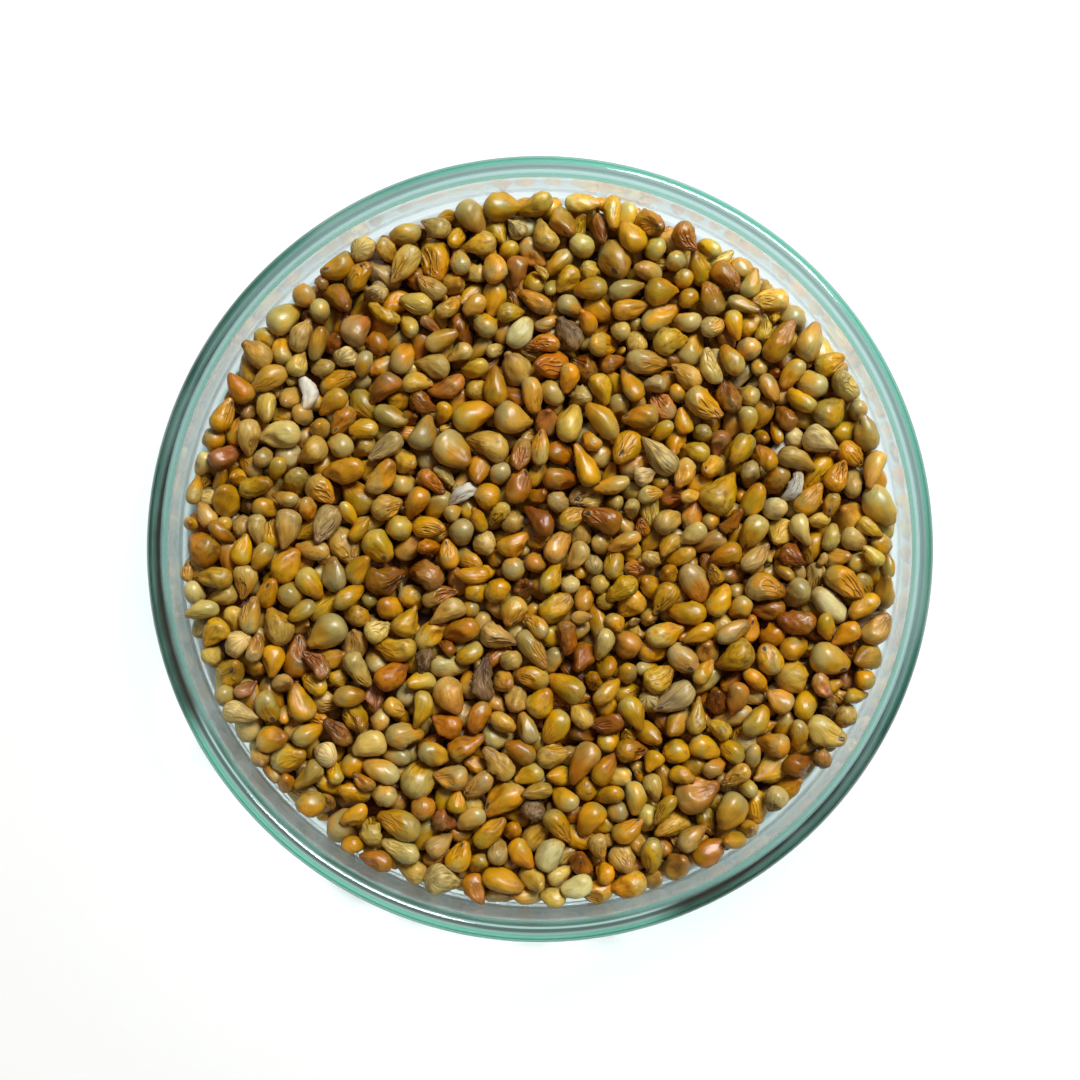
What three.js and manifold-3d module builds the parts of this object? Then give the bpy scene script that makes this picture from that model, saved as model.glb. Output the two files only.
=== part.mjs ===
// A dish of pearl millet: a clear glass Petri dish, open at the top, with a level heap of
// loose grains in it. Millimetres, +Z up, the centre of the dish's foot at the origin.

import * as THREE from 'three';
import { mergeVertices } from 'three/addons/utils/BufferGeometryUtils.js';
import Module from 'manifold-3d';

const wasm = await Module();
wasm.setup();

// The dish: a flat floor, an upright wall and a rounded, slightly beaded rim.
const dish = {
  radius: 45,
  height: 16,
  wall: 2,
  floor: 2,
  rimWidth: 2.4,
  outerCorner: 2.6,
  innerCorner: 1.5,
  cornerSteps: 3,
  rimSteps: 6,
  sides: 72,
};

// The heap keeps this far from the glass all round.
const clearance = 0.3;

// The heap between its grains: a flat foot, an upright side and a rounded upper edge.
const core = {
  radius: 41.3,
  bottom: dish.floor + clearance,
  top: 6.5,
  edgeRounding: 1.4,
  outlineSides: 80,
};

// The grains that cover the core, each a bump with a shoulder and a crown. Their sites are
// evened out a few times, and a shoulder fills at most this share of the way to its valley.
const bump = {
  count: 560,
  evenings: 5,
  length: [3.2, 4.3],
  slenderness: [0.72, 0.9],
  taper: 0.3,
  height: [0.95, 1.65],
  shoulder: 0.64,
  fill: 0.84,
};

// The few whole grains that lie on top of the others.
const looseGrain = {
  count: 14,
  length: [3.8, 4.8],
  slenderness: [0.64, 0.8],
  flatness: [0.86, 1],
  height: [7.2, 7.6],
  tilt: 0.2,
  sides: 6,
  outline: [[-1, 0], [-0.66, 0.78], [0.2, 0.96], [1, 0]],
  tries: 40,
};

// Broad rises and falls of the heap's top: height, and waves per millimetre along x and y.
const swells = [
  [0.16, 0.11, 0.05, 0.4],
  [0.13, -0.07, 0.15, 1.9],
  [0.1, 0.21, 0.12, 4.1],
];

const seed = 20431;

// Corners closer together than this are one corner.
const joinDistance = 0.001;

// Colours and finish.
const glassFinish = {
  color: 0xbfe0d6,
  roughness: 0.05,
  metalness: 0,
  transparent: true,
  opacity: 0.4,
};
const milletFinish = { color: 0xb08d3e, roughness: 0.5, metalness: 0 };

// A repeatable source of numbers from 0 up to 1.
function makeRandom(start) {
  let state = start;
  return () => {
    state = (state + 0x6d2b79f5) | 0;
    let mixed = Math.imul(state ^ (state >>> 15), 1 | state);
    mixed = (mixed + Math.imul(mixed ^ (mixed >>> 7), 61 | mixed)) ^ mixed;
    return ((mixed ^ (mixed >>> 14)) >>> 0) / 4294967296;
  };
}

const random = makeRandom(seed);

function between([low, high]) {
  return low + (high - low) * random();
}

// Points on a circular arc in the lathe's half plane, from one angle to another in degrees.
function arcPoints(centreX, centreY, radius, fromAngle, toAngle, steps) {
  const points = [];
  for (let step = 0; step <= steps; step += 1) {
    const angle = THREE.MathUtils.degToRad(fromAngle + ((toAngle - fromAngle) * step) / steps);
    points.push(new THREE.Vector2(
      centreX + radius * Math.cos(angle),
      centreY + radius * Math.sin(angle),
    ));
  }
  return points;
}

// Keeps only the positions, joins equal vertices and drops triangles that have no area.
function closedGeometry(source) {
  const bare = source.clone();
  bare.deleteAttribute('normal');
  bare.deleteAttribute('uv');
  const merged = mergeVertices(bare, joinDistance);
  const kept = [];
  const index = merged.index.array;
  for (let i = 0; i < index.length; i += 3) {
    const [a, b, c] = [index[i], index[i + 1], index[i + 2]];
    if (a !== b && b !== c && c !== a) {
      kept.push(a, b, c);
    }
  }
  merged.setIndex(kept);
  return merged;
}

// Turns a profile, given as distance from the axis and height, into a solid about +Z.
function lathe(profile, sides) {
  const geometry = new THREE.LatheGeometry(profile, sides);
  geometry.rotateX(Math.PI / 2);
  return closedGeometry(geometry);
}

function toSolid(geometry) {
  return new wasm.Manifold(new wasm.Mesh({
    numProp: 3,
    vertProperties: new Float32Array(geometry.attributes.position.array),
    triVerts: new Uint32Array(geometry.index.array),
  }));
}

function toGeometry(solid) {
  const { vertProperties, triVerts } = solid.getMesh();
  const geometry = new THREE.BufferGeometry();
  geometry.setAttribute('position', new THREE.BufferAttribute(vertProperties, 3));
  geometry.setIndex(new THREE.BufferAttribute(triVerts, 1));
  geometry.computeVertexNormals();
  return geometry;
}

// Outside from the axis of the foot to the rim, over the rim, and down inside to the axis.
function dishProfile() {
  const innerRadius = dish.radius - dish.wall;
  const rimRadius = dish.rimWidth / 2;
  const rimCentre = dish.radius - rimRadius;
  const rimHeight = dish.height - rimRadius;
  return [
    new THREE.Vector2(0, 0),
    ...arcPoints(
      dish.radius - dish.outerCorner, dish.outerCorner, dish.outerCorner,
      -90, 0, dish.cornerSteps,
    ),
    ...arcPoints(rimCentre, rimHeight, rimRadius, 0, 180, dish.rimSteps),
    new THREE.Vector2(innerRadius, rimHeight - rimRadius),
    ...arcPoints(
      innerRadius - dish.innerCorner, dish.floor + dish.innerCorner, dish.innerCorner,
      0, -90, dish.cornerSteps,
    ),
    new THREE.Vector2(0, dish.floor),
  ];
}

// How far from the axis the heap may reach at a height, clear of the wall and its corner.
function reachAt(height) {
  const wallReach = dish.radius - dish.wall - clearance;
  const rounding = dish.innerCorner - clearance;
  const drop = Math.min(dish.floor + dish.innerCorner - height, rounding);
  if (drop <= 0) {
    return wallReach;
  }
  return wallReach - rounding + Math.sqrt(rounding * rounding - drop * drop);
}

// The core's skin is laid out flat as a disc: its rim runs round the edge and down the side.
const flatRadius = core.radius - core.edgeRounding;
const edgeLength = (core.edgeRounding * Math.PI) / 2;
const sideLength = core.top - core.edgeRounding - core.bottom;
const skinRadius = flatRadius + edgeLength + sideLength;

function swellAt(x, y) {
  return swells.reduce(
    (sum, [height, alongX, alongY, phase]) => (
      sum + height * Math.sin(alongX * x + alongY * y + phase)
    ),
    0,
  );
}

// Folds a place on the flat skin onto the core and lifts it off by a height.
function foldSkin(place, lift) {
  const along = Math.hypot(place.x, place.y);
  const turn = THREE.MathUtils.clamp((along - flatRadius) / core.edgeRounding, 0, Math.PI / 2);
  const down = Math.max(0, along - flatRadius - edgeLength);
  const outX = along > 0 ? place.x / along : 1;
  const outY = along > 0 ? place.y / along : 0;
  const reach = Math.min(along, flatRadius) + (core.edgeRounding + lift) * Math.sin(turn);
  const swell = swellAt(place.x, place.y) * Math.cos(turn);
  const height = core.top - core.edgeRounding - down
    + (core.edgeRounding + lift) * Math.cos(turn) + swell;
  const kept = Math.min(reach, reachAt(height));
  return new THREE.Vector3(kept * outX, kept * outY, height);
}

// Cuts a flat polygon halfway between two sites and keeps the first site's side.
function keepNearer(polygon, site, other) {
  const towards = other.clone().sub(site);
  const limit = (other.lengthSq() - site.lengthSq()) / 2;
  const kept = [];
  polygon.forEach((from, i) => {
    const to = polygon[(i + 1) % polygon.length];
    const fromBeyond = from.dot(towards) - limit;
    const toBeyond = to.dot(towards) - limit;
    if (fromBeyond <= 0) {
      kept.push(from);
    }
    if (fromBeyond * toBeyond < 0) {
      kept.push(from.clone().lerp(to, fromBeyond / (fromBeyond - toBeyond)));
    }
  });
  return kept;
}

function skinOutline() {
  return Array.from({ length: core.outlineSides }, (_, i) => {
    const angle = (i * Math.PI * 2) / core.outlineSides;
    return new THREE.Vector2(skinRadius * Math.cos(angle), skinRadius * Math.sin(angle));
  });
}

// The part of the flat skin that is nearer to one site than to any other.
function cellOf(site, sites, outline) {
  const others = sites
    .filter((other) => other !== site)
    .sort((a, b) => a.distanceToSquared(site) - b.distanceToSquared(site));
  let cell = outline;
  for (const other of others) {
    const reach = Math.max(...cell.map((corner) => corner.distanceTo(site)));
    if (other.distanceTo(site) > 2 * reach) {
      break;
    }
    cell = keepNearer(cell, site, other);
  }
  return cell;
}

function centreOf(polygon) {
  const centre = new THREE.Vector2();
  let total = 0;
  polygon.forEach((from, i) => {
    const to = polygon[(i + 1) % polygon.length];
    const area = from.cross(to);
    centre.addScaledVector(from, area / 3);
    centre.addScaledVector(to, area / 3);
    total += area;
  });
  return centre.divideScalar(total);
}

// Scatters the sites of the grains, then evens them out by moving each to its cell's centre.
function layCells() {
  const outline = skinOutline();
  let sites = Array.from({ length: bump.count }, () => {
    const distance = skinRadius * Math.sqrt(random());
    const angle = random() * Math.PI * 2;
    return new THREE.Vector2(distance * Math.cos(angle), distance * Math.sin(angle));
  });
  for (let i = 0; i < bump.evenings; i += 1) {
    sites = sites.map((site) => centreOf(cellOf(site, sites, outline)));
  }
  return sites.map((site) => cellOf(site, sites, outline));
}

// One triangle mesh built corner by corner, with equal corners joined.
function makeMeshBuilder() {
  const corners = [];
  const indexOfKey = new Map();
  const triangles = [];
  const cornerIndex = (point) => {
    const key = point.toArray().map((value) => Math.round(value / joinDistance)).join(',');
    if (!indexOfKey.has(key)) {
      indexOfKey.set(key, corners.length / 3);
      corners.push(point.x, point.y, point.z);
    }
    return indexOfKey.get(key);
  };
  const addTriangle = (a, b, c) => {
    const [i, j, k] = [a, b, c].map(cornerIndex);
    if (i !== j && j !== k && k !== i) {
      triangles.push(i, j, k);
    }
  };
  const finish = () => {
    const geometry = new THREE.BufferGeometry();
    geometry.setAttribute('position', new THREE.Float32BufferAttribute(corners, 3));
    geometry.setIndex(triangles);
    return geometry;
  };
  return { addTriangle, finish };
}

// How far a lying grain's outline is from its middle, in a direction off its length.
function outlineReach(length, width, direction) {
  const across = Math.hypot(width * Math.cos(direction), length * Math.sin(direction));
  return ((length * width) / 2 / across) * (1 - bump.taper * Math.cos(direction) ** 3);
}

// Raises one cell into a grain: a valley at its corners, a shoulder inside them and a crown.
function raiseCell(cell, addTriangle) {
  const centre = centreOf(cell);
  const furthest = cell.reduce((far, corner) => (
    corner.distanceTo(centre) > far.distanceTo(centre) ? corner : far
  ));
  const heading = furthest.clone().sub(centre).angle();
  const length = between(bump.length);
  const width = length * between(bump.slenderness);
  const height = between(bump.height);
  const crown = foldSkin(centre, height);
  const valley = cell.map((corner) => foldSkin(corner, 0));
  const shoulder = cell.map((corner) => {
    const towards = corner.clone().sub(centre);
    const room = bump.fill * towards.length();
    const reach = Math.min(room, outlineReach(length, width, towards.angle() - heading));
    const place = centre.clone().addScaledVector(towards.normalize(), reach);
    return foldSkin(place, height * bump.shoulder);
  });
  cell.forEach((_, i) => {
    const next = (i + 1) % cell.length;
    addTriangle(valley[i], valley[next], shoulder[next]);
    addTriangle(valley[i], shoulder[next], shoulder[i]);
    addTriangle(shoulder[i], shoulder[next], crown);
  });
}

// Closes the heap below, from the corners on the skin's outline to the middle of the foot.
function closeFoot(cells, addTriangle) {
  const outlineFlat = skinRadius * Math.cos(Math.PI / core.outlineSides);
  const onOutline = (corner) => corner.length() > outlineFlat - joinDistance;
  const middle = new THREE.Vector3(0, 0, core.bottom);
  for (const cell of cells) {
    cell.forEach((from, i) => {
      const to = cell[(i + 1) % cell.length];
      if (onOutline(from) && onOutline(to)) {
        addTriangle(foldSkin(to, 0), foldSkin(from, 0), middle);
      }
    });
  }
}

function coveredCore() {
  const cells = layCells();
  const { addTriangle, finish } = makeMeshBuilder();
  for (const cell of cells) {
    raiseCell(cell, addTriangle);
  }
  closeFoot(cells, addTriangle);
  return finish();
}

// One whole grain lying on its side: round at its blunt end and drawn in towards its tip.
function grainGeometry(grain) {
  const outline = looseGrain.outline.map(([along, reach]) => new THREE.Vector2(reach, along));
  const geometry = closedGeometry(new THREE.LatheGeometry(outline, looseGrain.sides));
  geometry.scale(grain.width / 2, grain.length / 2, grain.depth / 2);
  geometry.rotateX(grain.tilt);
  geometry.rotateZ(grain.heading);
  geometry.translate(grain.x, grain.y, grain.z);
  return geometry;
}

// Places for the loose grains: of several drawn ones, each takes the furthest from the rest.
function layLooseGrains() {
  const laid = [];
  for (let i = 0; i < looseGrain.count; i += 1) {
    let best = null;
    for (let attempt = 0; attempt < looseGrain.tries; attempt += 1) {
      const distance = flatRadius * Math.sqrt(random());
      const angle = random() * Math.PI * 2;
      const x = distance * Math.cos(angle);
      const y = distance * Math.sin(angle);
      const room = laid.reduce((least, other) => (
        Math.min(least, Math.hypot(other.x - x, other.y - y))
      ), Infinity);
      if (best === null || room > best.room) {
        best = { x, y, room };
      }
    }
    const length = between(looseGrain.length);
    const width = length * between(looseGrain.slenderness);
    laid.push({
      x: best.x,
      y: best.y,
      z: between(looseGrain.height) + swellAt(best.x, best.y),
      length,
      width,
      depth: width * between(looseGrain.flatness),
      tilt: (random() * 2 - 1) * looseGrain.tilt,
      heading: random() * Math.PI * 2,
    });
  }
  return laid;
}

// The heap as one solid: the covered core with the loose grains joined on.
function heapSolid() {
  let heap = toSolid(coveredCore());
  for (const grain of layLooseGrains()) {
    heap = heap.add(toSolid(grainGeometry(grain)));
  }
  const pieces = heap.decompose();
  return pieces.reduce((largest, piece) => (piece.volume() > largest.volume() ? piece : largest));
}

const part = new THREE.Group();

const petriDish = new THREE.Mesh(
  lathe(dishProfile(), dish.sides),
  new THREE.MeshStandardMaterial(glassFinish),
);
petriDish.name = 'petri_dish';
part.add(petriDish);

const millet = new THREE.Mesh(
  toGeometry(heapSolid()),
  new THREE.MeshStandardMaterial(milletFinish),
);
millet.name = 'millet';
part.add(millet);

export default part;
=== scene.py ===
import math

import bpy
import numpy as np
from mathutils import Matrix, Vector


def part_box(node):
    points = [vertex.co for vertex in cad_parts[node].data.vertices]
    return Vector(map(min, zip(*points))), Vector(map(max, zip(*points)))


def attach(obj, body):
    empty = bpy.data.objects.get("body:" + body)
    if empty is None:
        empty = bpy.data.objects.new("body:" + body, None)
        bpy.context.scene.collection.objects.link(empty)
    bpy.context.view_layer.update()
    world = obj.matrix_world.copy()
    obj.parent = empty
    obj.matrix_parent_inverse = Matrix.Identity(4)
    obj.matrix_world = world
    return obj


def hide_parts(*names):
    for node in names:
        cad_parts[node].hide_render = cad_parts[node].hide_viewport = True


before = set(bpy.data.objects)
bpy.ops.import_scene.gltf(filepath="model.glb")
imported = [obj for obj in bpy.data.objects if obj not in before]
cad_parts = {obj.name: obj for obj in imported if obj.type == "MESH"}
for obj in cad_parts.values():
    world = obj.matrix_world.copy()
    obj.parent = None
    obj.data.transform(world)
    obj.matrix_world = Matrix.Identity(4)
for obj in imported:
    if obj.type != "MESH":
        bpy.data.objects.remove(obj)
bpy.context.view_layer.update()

mm = 0.001
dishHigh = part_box("petri_dish")[1]
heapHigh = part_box("millet")[1]

scene = bpy.context.scene
scene.view_settings.view_transform = "Standard"
scene.view_settings.look = "None"


# small helpers

# an 8-bit screen colour as the linear colour that a shader takes
def srgb(red, green, blue):
    linear = []
    for value in (red, green, blue):
        share = value / 255
        linear.append(share / 12.92 if share <= 0.04045 else ((share + 0.055) / 1.055) ** 2.4)
    return (*linear, 1.0)


def ease(low, high, value):
    share = np.clip((value - low) / (high - low), 0, 1)
    return share * share * (3 - 2 * share)


# a smooth-shaded object from arrays of corners and faces, in metres
def meshFromArrays(name, points, triangles, quads=None):
    faces = [np.asarray(triangles, dtype=np.int32)]
    if quads is not None:
        faces.append(np.asarray(quads, dtype=np.int32))
    loops = np.concatenate([f.ravel() for f in faces])
    sizes = np.concatenate([np.full(len(f), f.shape[1], dtype=np.int32) for f in faces])
    starts = np.concatenate([[0], np.cumsum(sizes)[:-1]]).astype(np.int32)
    mesh = bpy.data.meshes.new(name)
    mesh.vertices.add(len(points))
    mesh.vertices.foreach_set("co", np.asarray(points, dtype=np.float32).ravel())
    mesh.loops.add(len(loops))
    mesh.loops.foreach_set("vertex_index", loops)
    mesh.polygons.add(len(sizes))
    mesh.polygons.foreach_set("loop_start", starts)
    mesh.update(calc_edges=True)
    mesh.polygons.foreach_set("use_smooth", np.ones(len(sizes), dtype=bool))
    mesh.validate()
    piece = bpy.data.objects.new(name, mesh)
    scene.collection.objects.link(piece)
    return piece


# turns a profile of (distance from the axis, height) about Z; its ends are on the axis
def latheMesh(name, profile, around):
    ring = np.array([p for p in profile if p[0] > 1e-9])
    angle = np.arange(around) * 2 * math.pi / around
    points = np.stack([
        np.outer(ring[:, 0], np.cos(angle)),
        np.outer(ring[:, 0], np.sin(angle)),
        np.repeat(ring[:, 1:2], around, axis=1),
    ], axis=-1).reshape(-1, 3)
    bottom, top = len(points), len(points) + 1
    points = np.vstack([points, [0, 0, profile[0][1]], [0, 0, profile[-1][1]]])
    here = np.arange(around)
    there = (here + 1) % around
    quads = [
        np.stack([row * around + here, row * around + there,
                  (row + 1) * around + there, (row + 1) * around + here], axis=1)
        for row in range(len(ring) - 1)
    ]
    last = (len(ring) - 1) * around
    triangles = np.concatenate([
        np.stack([np.full(around, bottom), there, here], axis=1),
        np.stack([np.full(around, top), last + here, last + there], axis=1),
    ])
    return meshFromArrays(name, points, triangles, np.concatenate(quads))


def arc(centreX, centreZ, radius, start, end, steps):
    angles = np.radians(np.linspace(start, end, steps + 1))
    return [(centreX + radius * math.cos(a), centreZ + radius * math.sin(a)) for a in angles]


# shader nodes

def addNode(tree, kind, values=None, **settings):
    node = tree.nodes.new(kind)
    for key, value in settings.items():
        setattr(node, key, value)
    for key, value in (values or {}).items():
        if isinstance(value, bpy.types.NodeSocket):
            tree.links.new(value, node.inputs[key])
        else:
            node.inputs[key].default_value = value
    return node


def maths(tree, operation, first, second=0.0, third=0.0, clamp=False):
    return addNode(tree, "ShaderNodeMath", {0: first, 1: second, 2: third},
                   operation=operation, use_clamp=clamp).outputs[0]


def times(tree, first, second):
    return maths(tree, "MULTIPLY", first, second)


def timesPlus(tree, first, second, third):
    return maths(tree, "MULTIPLY_ADD", first, second, third)


def vectorMaths(tree, operation, first, second=(0, 0, 0), output="Vector"):
    return addNode(tree, "ShaderNodeVectorMath", {0: first, 1: second},
                   operation=operation).outputs[output]


def mixColour(tree, share, first, second, blend="MIX"):
    return addNode(tree, "ShaderNodeMix", {0: share, 6: first, 7: second},
                   data_type="RGBA", blend_type=blend).outputs[2]


def mapShare(tree, value, low, high, toLow=0.0, toHigh=1.0):
    return addNode(tree, "ShaderNodeMapRange", {0: value, 1: low, 2: high, 3: toLow, 4: toHigh},
                   interpolation_type="SMOOTHSTEP").outputs[0]


def noiseAt(tree, vector, scale, detail=2.0, roughness=0.5):
    return addNode(tree, "ShaderNodeTexNoise", {
        "Vector": vector, "Scale": scale, "Detail": detail, "Roughness": roughness,
    }).outputs["Fac"]


def bumpFrom(tree, shader, height, strength, distance):
    bump = addNode(tree, "ShaderNodeBump", {
        "Strength": strength, "Distance": distance, "Height": height})
    tree.links.new(bump.outputs[0], shader.inputs["Normal"])


def placeOn(tree):
    return addNode(tree, "ShaderNodeTexCoord").outputs["Object"]


def newGroup(name, inputs, outputs):
    group = bpy.data.node_groups.new(name, "ShaderNodeTree")
    for socketName, socketType, value in inputs:
        socket = group.interface.new_socket(socketName, in_out="INPUT", socket_type=socketType)
        socket.default_value = value
    for socketName, socketType in outputs:
        group.interface.new_socket(socketName, in_out="OUTPUT", socket_type=socketType)
    return group, group.nodes.new("NodeGroupInput"), group.nodes.new("NodeGroupOutput")


def newMaterial(name):
    material = bpy.data.materials.new(name)
    material.use_nodes = True
    tree = material.node_tree
    return material, tree, tree.nodes["Principled BSDF"], tree.nodes["Material Output"]


# the glass dish

dish = {
    "wall": 2.0 * mm,
    "floor": 2.0 * mm,
    "rimWidth": 2.4 * mm,
    "outerCorner": 2.6 * mm,
    "innerCorner": 1.5 * mm,
    "around": 288,
    "cornerSteps": 12,
    "rimSteps": 20,
    "wallSteps": 6,
    "tint": (0.18, 0.72, 0.60, 1),  # what is left of white after a long way through the glass
    "tintDensity": 42.0,
    "lipHeight": (2.2 * mm, 1.5 * mm),  # the lip's colour fades in between these depths
    # how the lip darkens outwards: a tint, and from and up to where it fades in; the teal is the glass's
    # own colour where it is deep, the grey bands are painted shade for the dark lines that the round lip
    # shows
    "lipBands": (
        ((0.22, 0.52, 0.43, 1), 0.0 * mm, 0.0 * mm),
        ((0.85, 0.80, 0.88, 1), 42.85 * mm, 43.0 * mm),
        ((0.44, 0.40, 0.41, 1), 43.3 * mm, 43.6 * mm),
        ((0.12, 0.48, 0.35, 1), 43.8 * mm, 44.1 * mm),
    ),
    # painted shade: grey tints that darken what shows through the inner wall and the inner corner
    "wallShadeTint": (0.80, 0.80, 0.82, 1),
    "cornerShadeTint": (0.60, 0.60, 0.62, 1),
    "innerHaze": 0.10,       # the inside of the wall is a little dull
    "lipHaze": 0.03,
    "lipShadeAxis": 60,           # painted shade: seen from above, the lip is left clearest towards the lamp and away from it
    "lipSideShade": (0.42, 0.95),  # and painted darker by these shares at its sides, within and at the edge
    "shadowTint": (0.88, 0.885, 0.90, 1),
    "waveScale": 90,
    "waveDepth": 0.4 * mm,
    "scratchScale": (900, 900, 7000),
    "scratchHaze": (0.012, 0.07),
    "mostBounces": 3,        # light that is still inside by then is let out, and at the foot at once
    "footHeight": 2.9 * mm,
    "footReach": 41.5 * mm,
}
dishRadius = dishHigh.x
dishTop = dishHigh.z
innerRadius = dishRadius - dish["wall"]


def dishProfile():
    rimRadius = dish["rimWidth"] / 2
    rimCentre = dishRadius - rimRadius
    rimHeight = dishTop - rimRadius
    corner, inner = dish["outerCorner"], dish["innerCorner"]
    outside = [(dishRadius, z) for z in np.linspace(corner, rimHeight, dish["wallSteps"])[1:-1]]
    inside = [(innerRadius, z) for z in
              np.linspace(rimHeight - 1.6 * rimRadius, dish["floor"] + inner, dish["wallSteps"])]
    return (
        [(0, 0)]
        + [(dishRadius * share, 0) for share in (0.3, 0.6, 0.8)]
        + arc(dishRadius - corner, corner, corner, -90, 0, dish["cornerSteps"])
        + outside
        + arc(rimCentre, rimHeight, rimRadius, 0, 180, dish["rimSteps"])
        + inside[:-1]
        + arc(innerRadius - inner, dish["floor"] + inner, inner, 0, -90, dish["cornerSteps"])
        + [(dishRadius * share, dish["floor"]) for share in (0.8, 0.6, 0.3)]
        + [(0, dish["floor"])]
    )


# clear glass with faint waves and scratches, teal where it is deep and round its lip, and painted shade:
# grey bands and darker sides on the lip, grey on the inner wall and corner
def glassMaterial():
    material, tree, glass, output = newMaterial("dishGlass")
    place = placeOn(tree)
    split = addNode(tree, "ShaderNodeSeparateXYZ", {0: place}).outputs
    reach = vectorMaths(tree, "LENGTH", vectorMaths(tree, "MULTIPLY", place, (1, 1, 0)),
                        output="Value")
    lip = mapShare(tree, split[2], *(dishTop - depth for depth in dish["lipHeight"]))
    waves = noiseAt(tree, place, dish["waveScale"], 1.0)
    uneven = timesPlus(tree, waves, 0.4, 0.8)
    # the lip's teal is the glass's own colour; its grey bands are painted shade
    colour = dish["lipBands"][0][0]
    for tint, start, end in dish["lipBands"][1:]:
        colour = mixColour(tree, mapShare(tree, reach, start, end), colour, tint)
    # painted shade: seen from above, the lip is darkened at its sides, across the lamp's axis
    turned = timesPlus(tree, maths(tree, "ARCTAN2", split[1], split[0]), 2.0,
                       -2 * math.radians(dish["lipShadeAxis"]))
    paintedSideShade = timesPlus(tree, maths(tree, "COSINE", turned), -0.5, 0.5)
    _, edgeStart, edgeEnd = dish["lipBands"][-1]
    amount = mapShare(tree, reach, edgeStart, edgeEnd, *dish["lipSideShade"])
    dark = maths(tree, "SUBTRACT", 1.0, times(tree, paintedSideShade, amount))
    colour = mixColour(tree, 1.0, colour, addNode(tree, "ShaderNodeCombineColor", {
        0: dark, 1: dark, 2: dark}).outputs[0], "MULTIPLY")
    lipShare = maths(tree, "MULTIPLY", lip, uneven, clamp=True)
    onWall = mapShare(tree, reach, innerRadius - 0.4 * mm, innerRadius - 0.1 * mm)
    onCorner = mapShare(tree, reach, innerRadius - dish["innerCorner"], innerRadius - 0.8 * mm)
    # painted shade: grey on the inner corner and the inner wall
    clear = mixColour(tree, onCorner, (1, 1, 1, 1), dish["cornerShadeTint"])
    clear = mixColour(tree, onWall, clear, dish["wallShadeTint"])
    colour = mixColour(tree, lipShare, clear, colour)
    tree.links.new(colour, glass.inputs["Base Color"])
    scratches = noiseAt(tree, addNode(tree, "ShaderNodeMapping", {
        "Vector": place, "Scale": dish["scratchScale"]}).outputs[0], 1.0, 1.0, 0.7)
    scuff = mapShare(tree, scratches, 0.60, 0.72, *dish["scratchHaze"])
    inside = times(tree, maths(tree, "LESS_THAN", reach, innerRadius + 0.3 * mm), onWall)
    inside = times(tree, inside, maths(tree, "SUBTRACT", 1.0, lip))
    scuff = timesPlus(tree, inside, dish["innerHaze"], scuff)
    scuff = timesPlus(tree, lip, dish["lipHaze"], scuff)
    glass.inputs["Transmission Weight"].default_value = 1.0
    glass.inputs["IOR"].default_value = 1.5
    tree.links.new(scuff, glass.inputs["Roughness"])
    bumpFrom(tree, glass, waves, 0.12, dish["waveDepth"])
    passing = addNode(tree, "ShaderNodeBsdfTransparent", {"Color": dish["shadowTint"]})
    path = addNode(tree, "ShaderNodeLightPath").outputs
    trapped = maths(tree, "GREATER_THAN", path["Ray Depth"], dish["mostBounces"] - 0.5)
    atFoot = times(tree, maths(tree, "LESS_THAN", split[2], dish["footHeight"]),
                   maths(tree, "GREATER_THAN", reach, dish["footReach"]))
    atFoot = times(tree, atFoot, maths(tree, "GREATER_THAN", path["Ray Depth"], 0.5))
    through = maths(tree, "MAXIMUM", path["Is Shadow Ray"], maths(
        tree, "MAXIMUM", trapped, atFoot))
    both = addNode(tree, "ShaderNodeMixShader", {
        0: through, 1: glass.outputs[0], 2: passing.outputs[0]})
    tree.links.new(both.outputs[0], output.inputs["Surface"])
    depth = addNode(tree, "ShaderNodeVolumeAbsorption", {
        "Color": dish["tint"], "Density": dish["tintDensity"]})
    tree.links.new(depth.outputs[0], output.inputs["Volume"])
    return material


def makeDish():
    piece = latheMesh("glassDish", dishProfile(), dish["around"])
    piece.data.materials.append(glassMaterial())
    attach(piece, "root")
    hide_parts("petri_dish")
    print("dish: turned glass,", len(piece.data.polygons), "faces")
    return piece


# how the grains lie: measured in millimetres until they become meshes

heap = {
    "grains": 1640,
    "seed": 11,
    "layers": 5,
    "length": (4.0, 0.66, 2.4, 5.8),     # mean, spread, least, most
    "slimness": (0.66, 0.08, 0.5, 0.9),
    "smallBelow": 2.9,                   # shorter grains are rounder
    "crumbLength": (1.3, 2.3),
    "wallGap": 0.06,
    "floorGap": 0.06,
    "edgeGap": 0.26,                     # how far the heap's edge stays off the wall, on average
    "edgeWaves": ((1, 0.24, 0.0), (7, 0.24, 1.0), (16, 0.22, 2.0)),  # times round, height, turn
    "steps": 320,
    "searchEvery": 6,                    # steps between searches for grains that may touch
    "fall": 0.15,                        # how far a grain sinks a step at first, and at last
    "creep": 0.004,
    "jostle": 0.06,                      # a little shaking sideways
    "jostleUntil": 0.6,                  # shares of the steps
    "levelUntil": 0.86,
    "level": 8.5,                        # a light hand on the top while the grains settle
    "balls": (0.47, 0.475, 0.27),        # radii of a grain's balls from blunt end to tip, in widths
    "endBalls": (0.47, 0.33),            # how far the end balls' middles lie in, in widths
    "middleBall": 0.1,                   # how far the middle one lies towards the tip, in lengths
    "germUp": 0.6,                       # this share lies with the germ upwards, more or less
    "seenCell": 0.25,
    "nearCells": 36,                     # a grain that shows this many cells is near
    "partCells": 8,
}
heapReach = innerRadius / mm - heap["wallGap"]
heapFloor = dish["floor"] / mm + heap["floorGap"]

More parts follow.
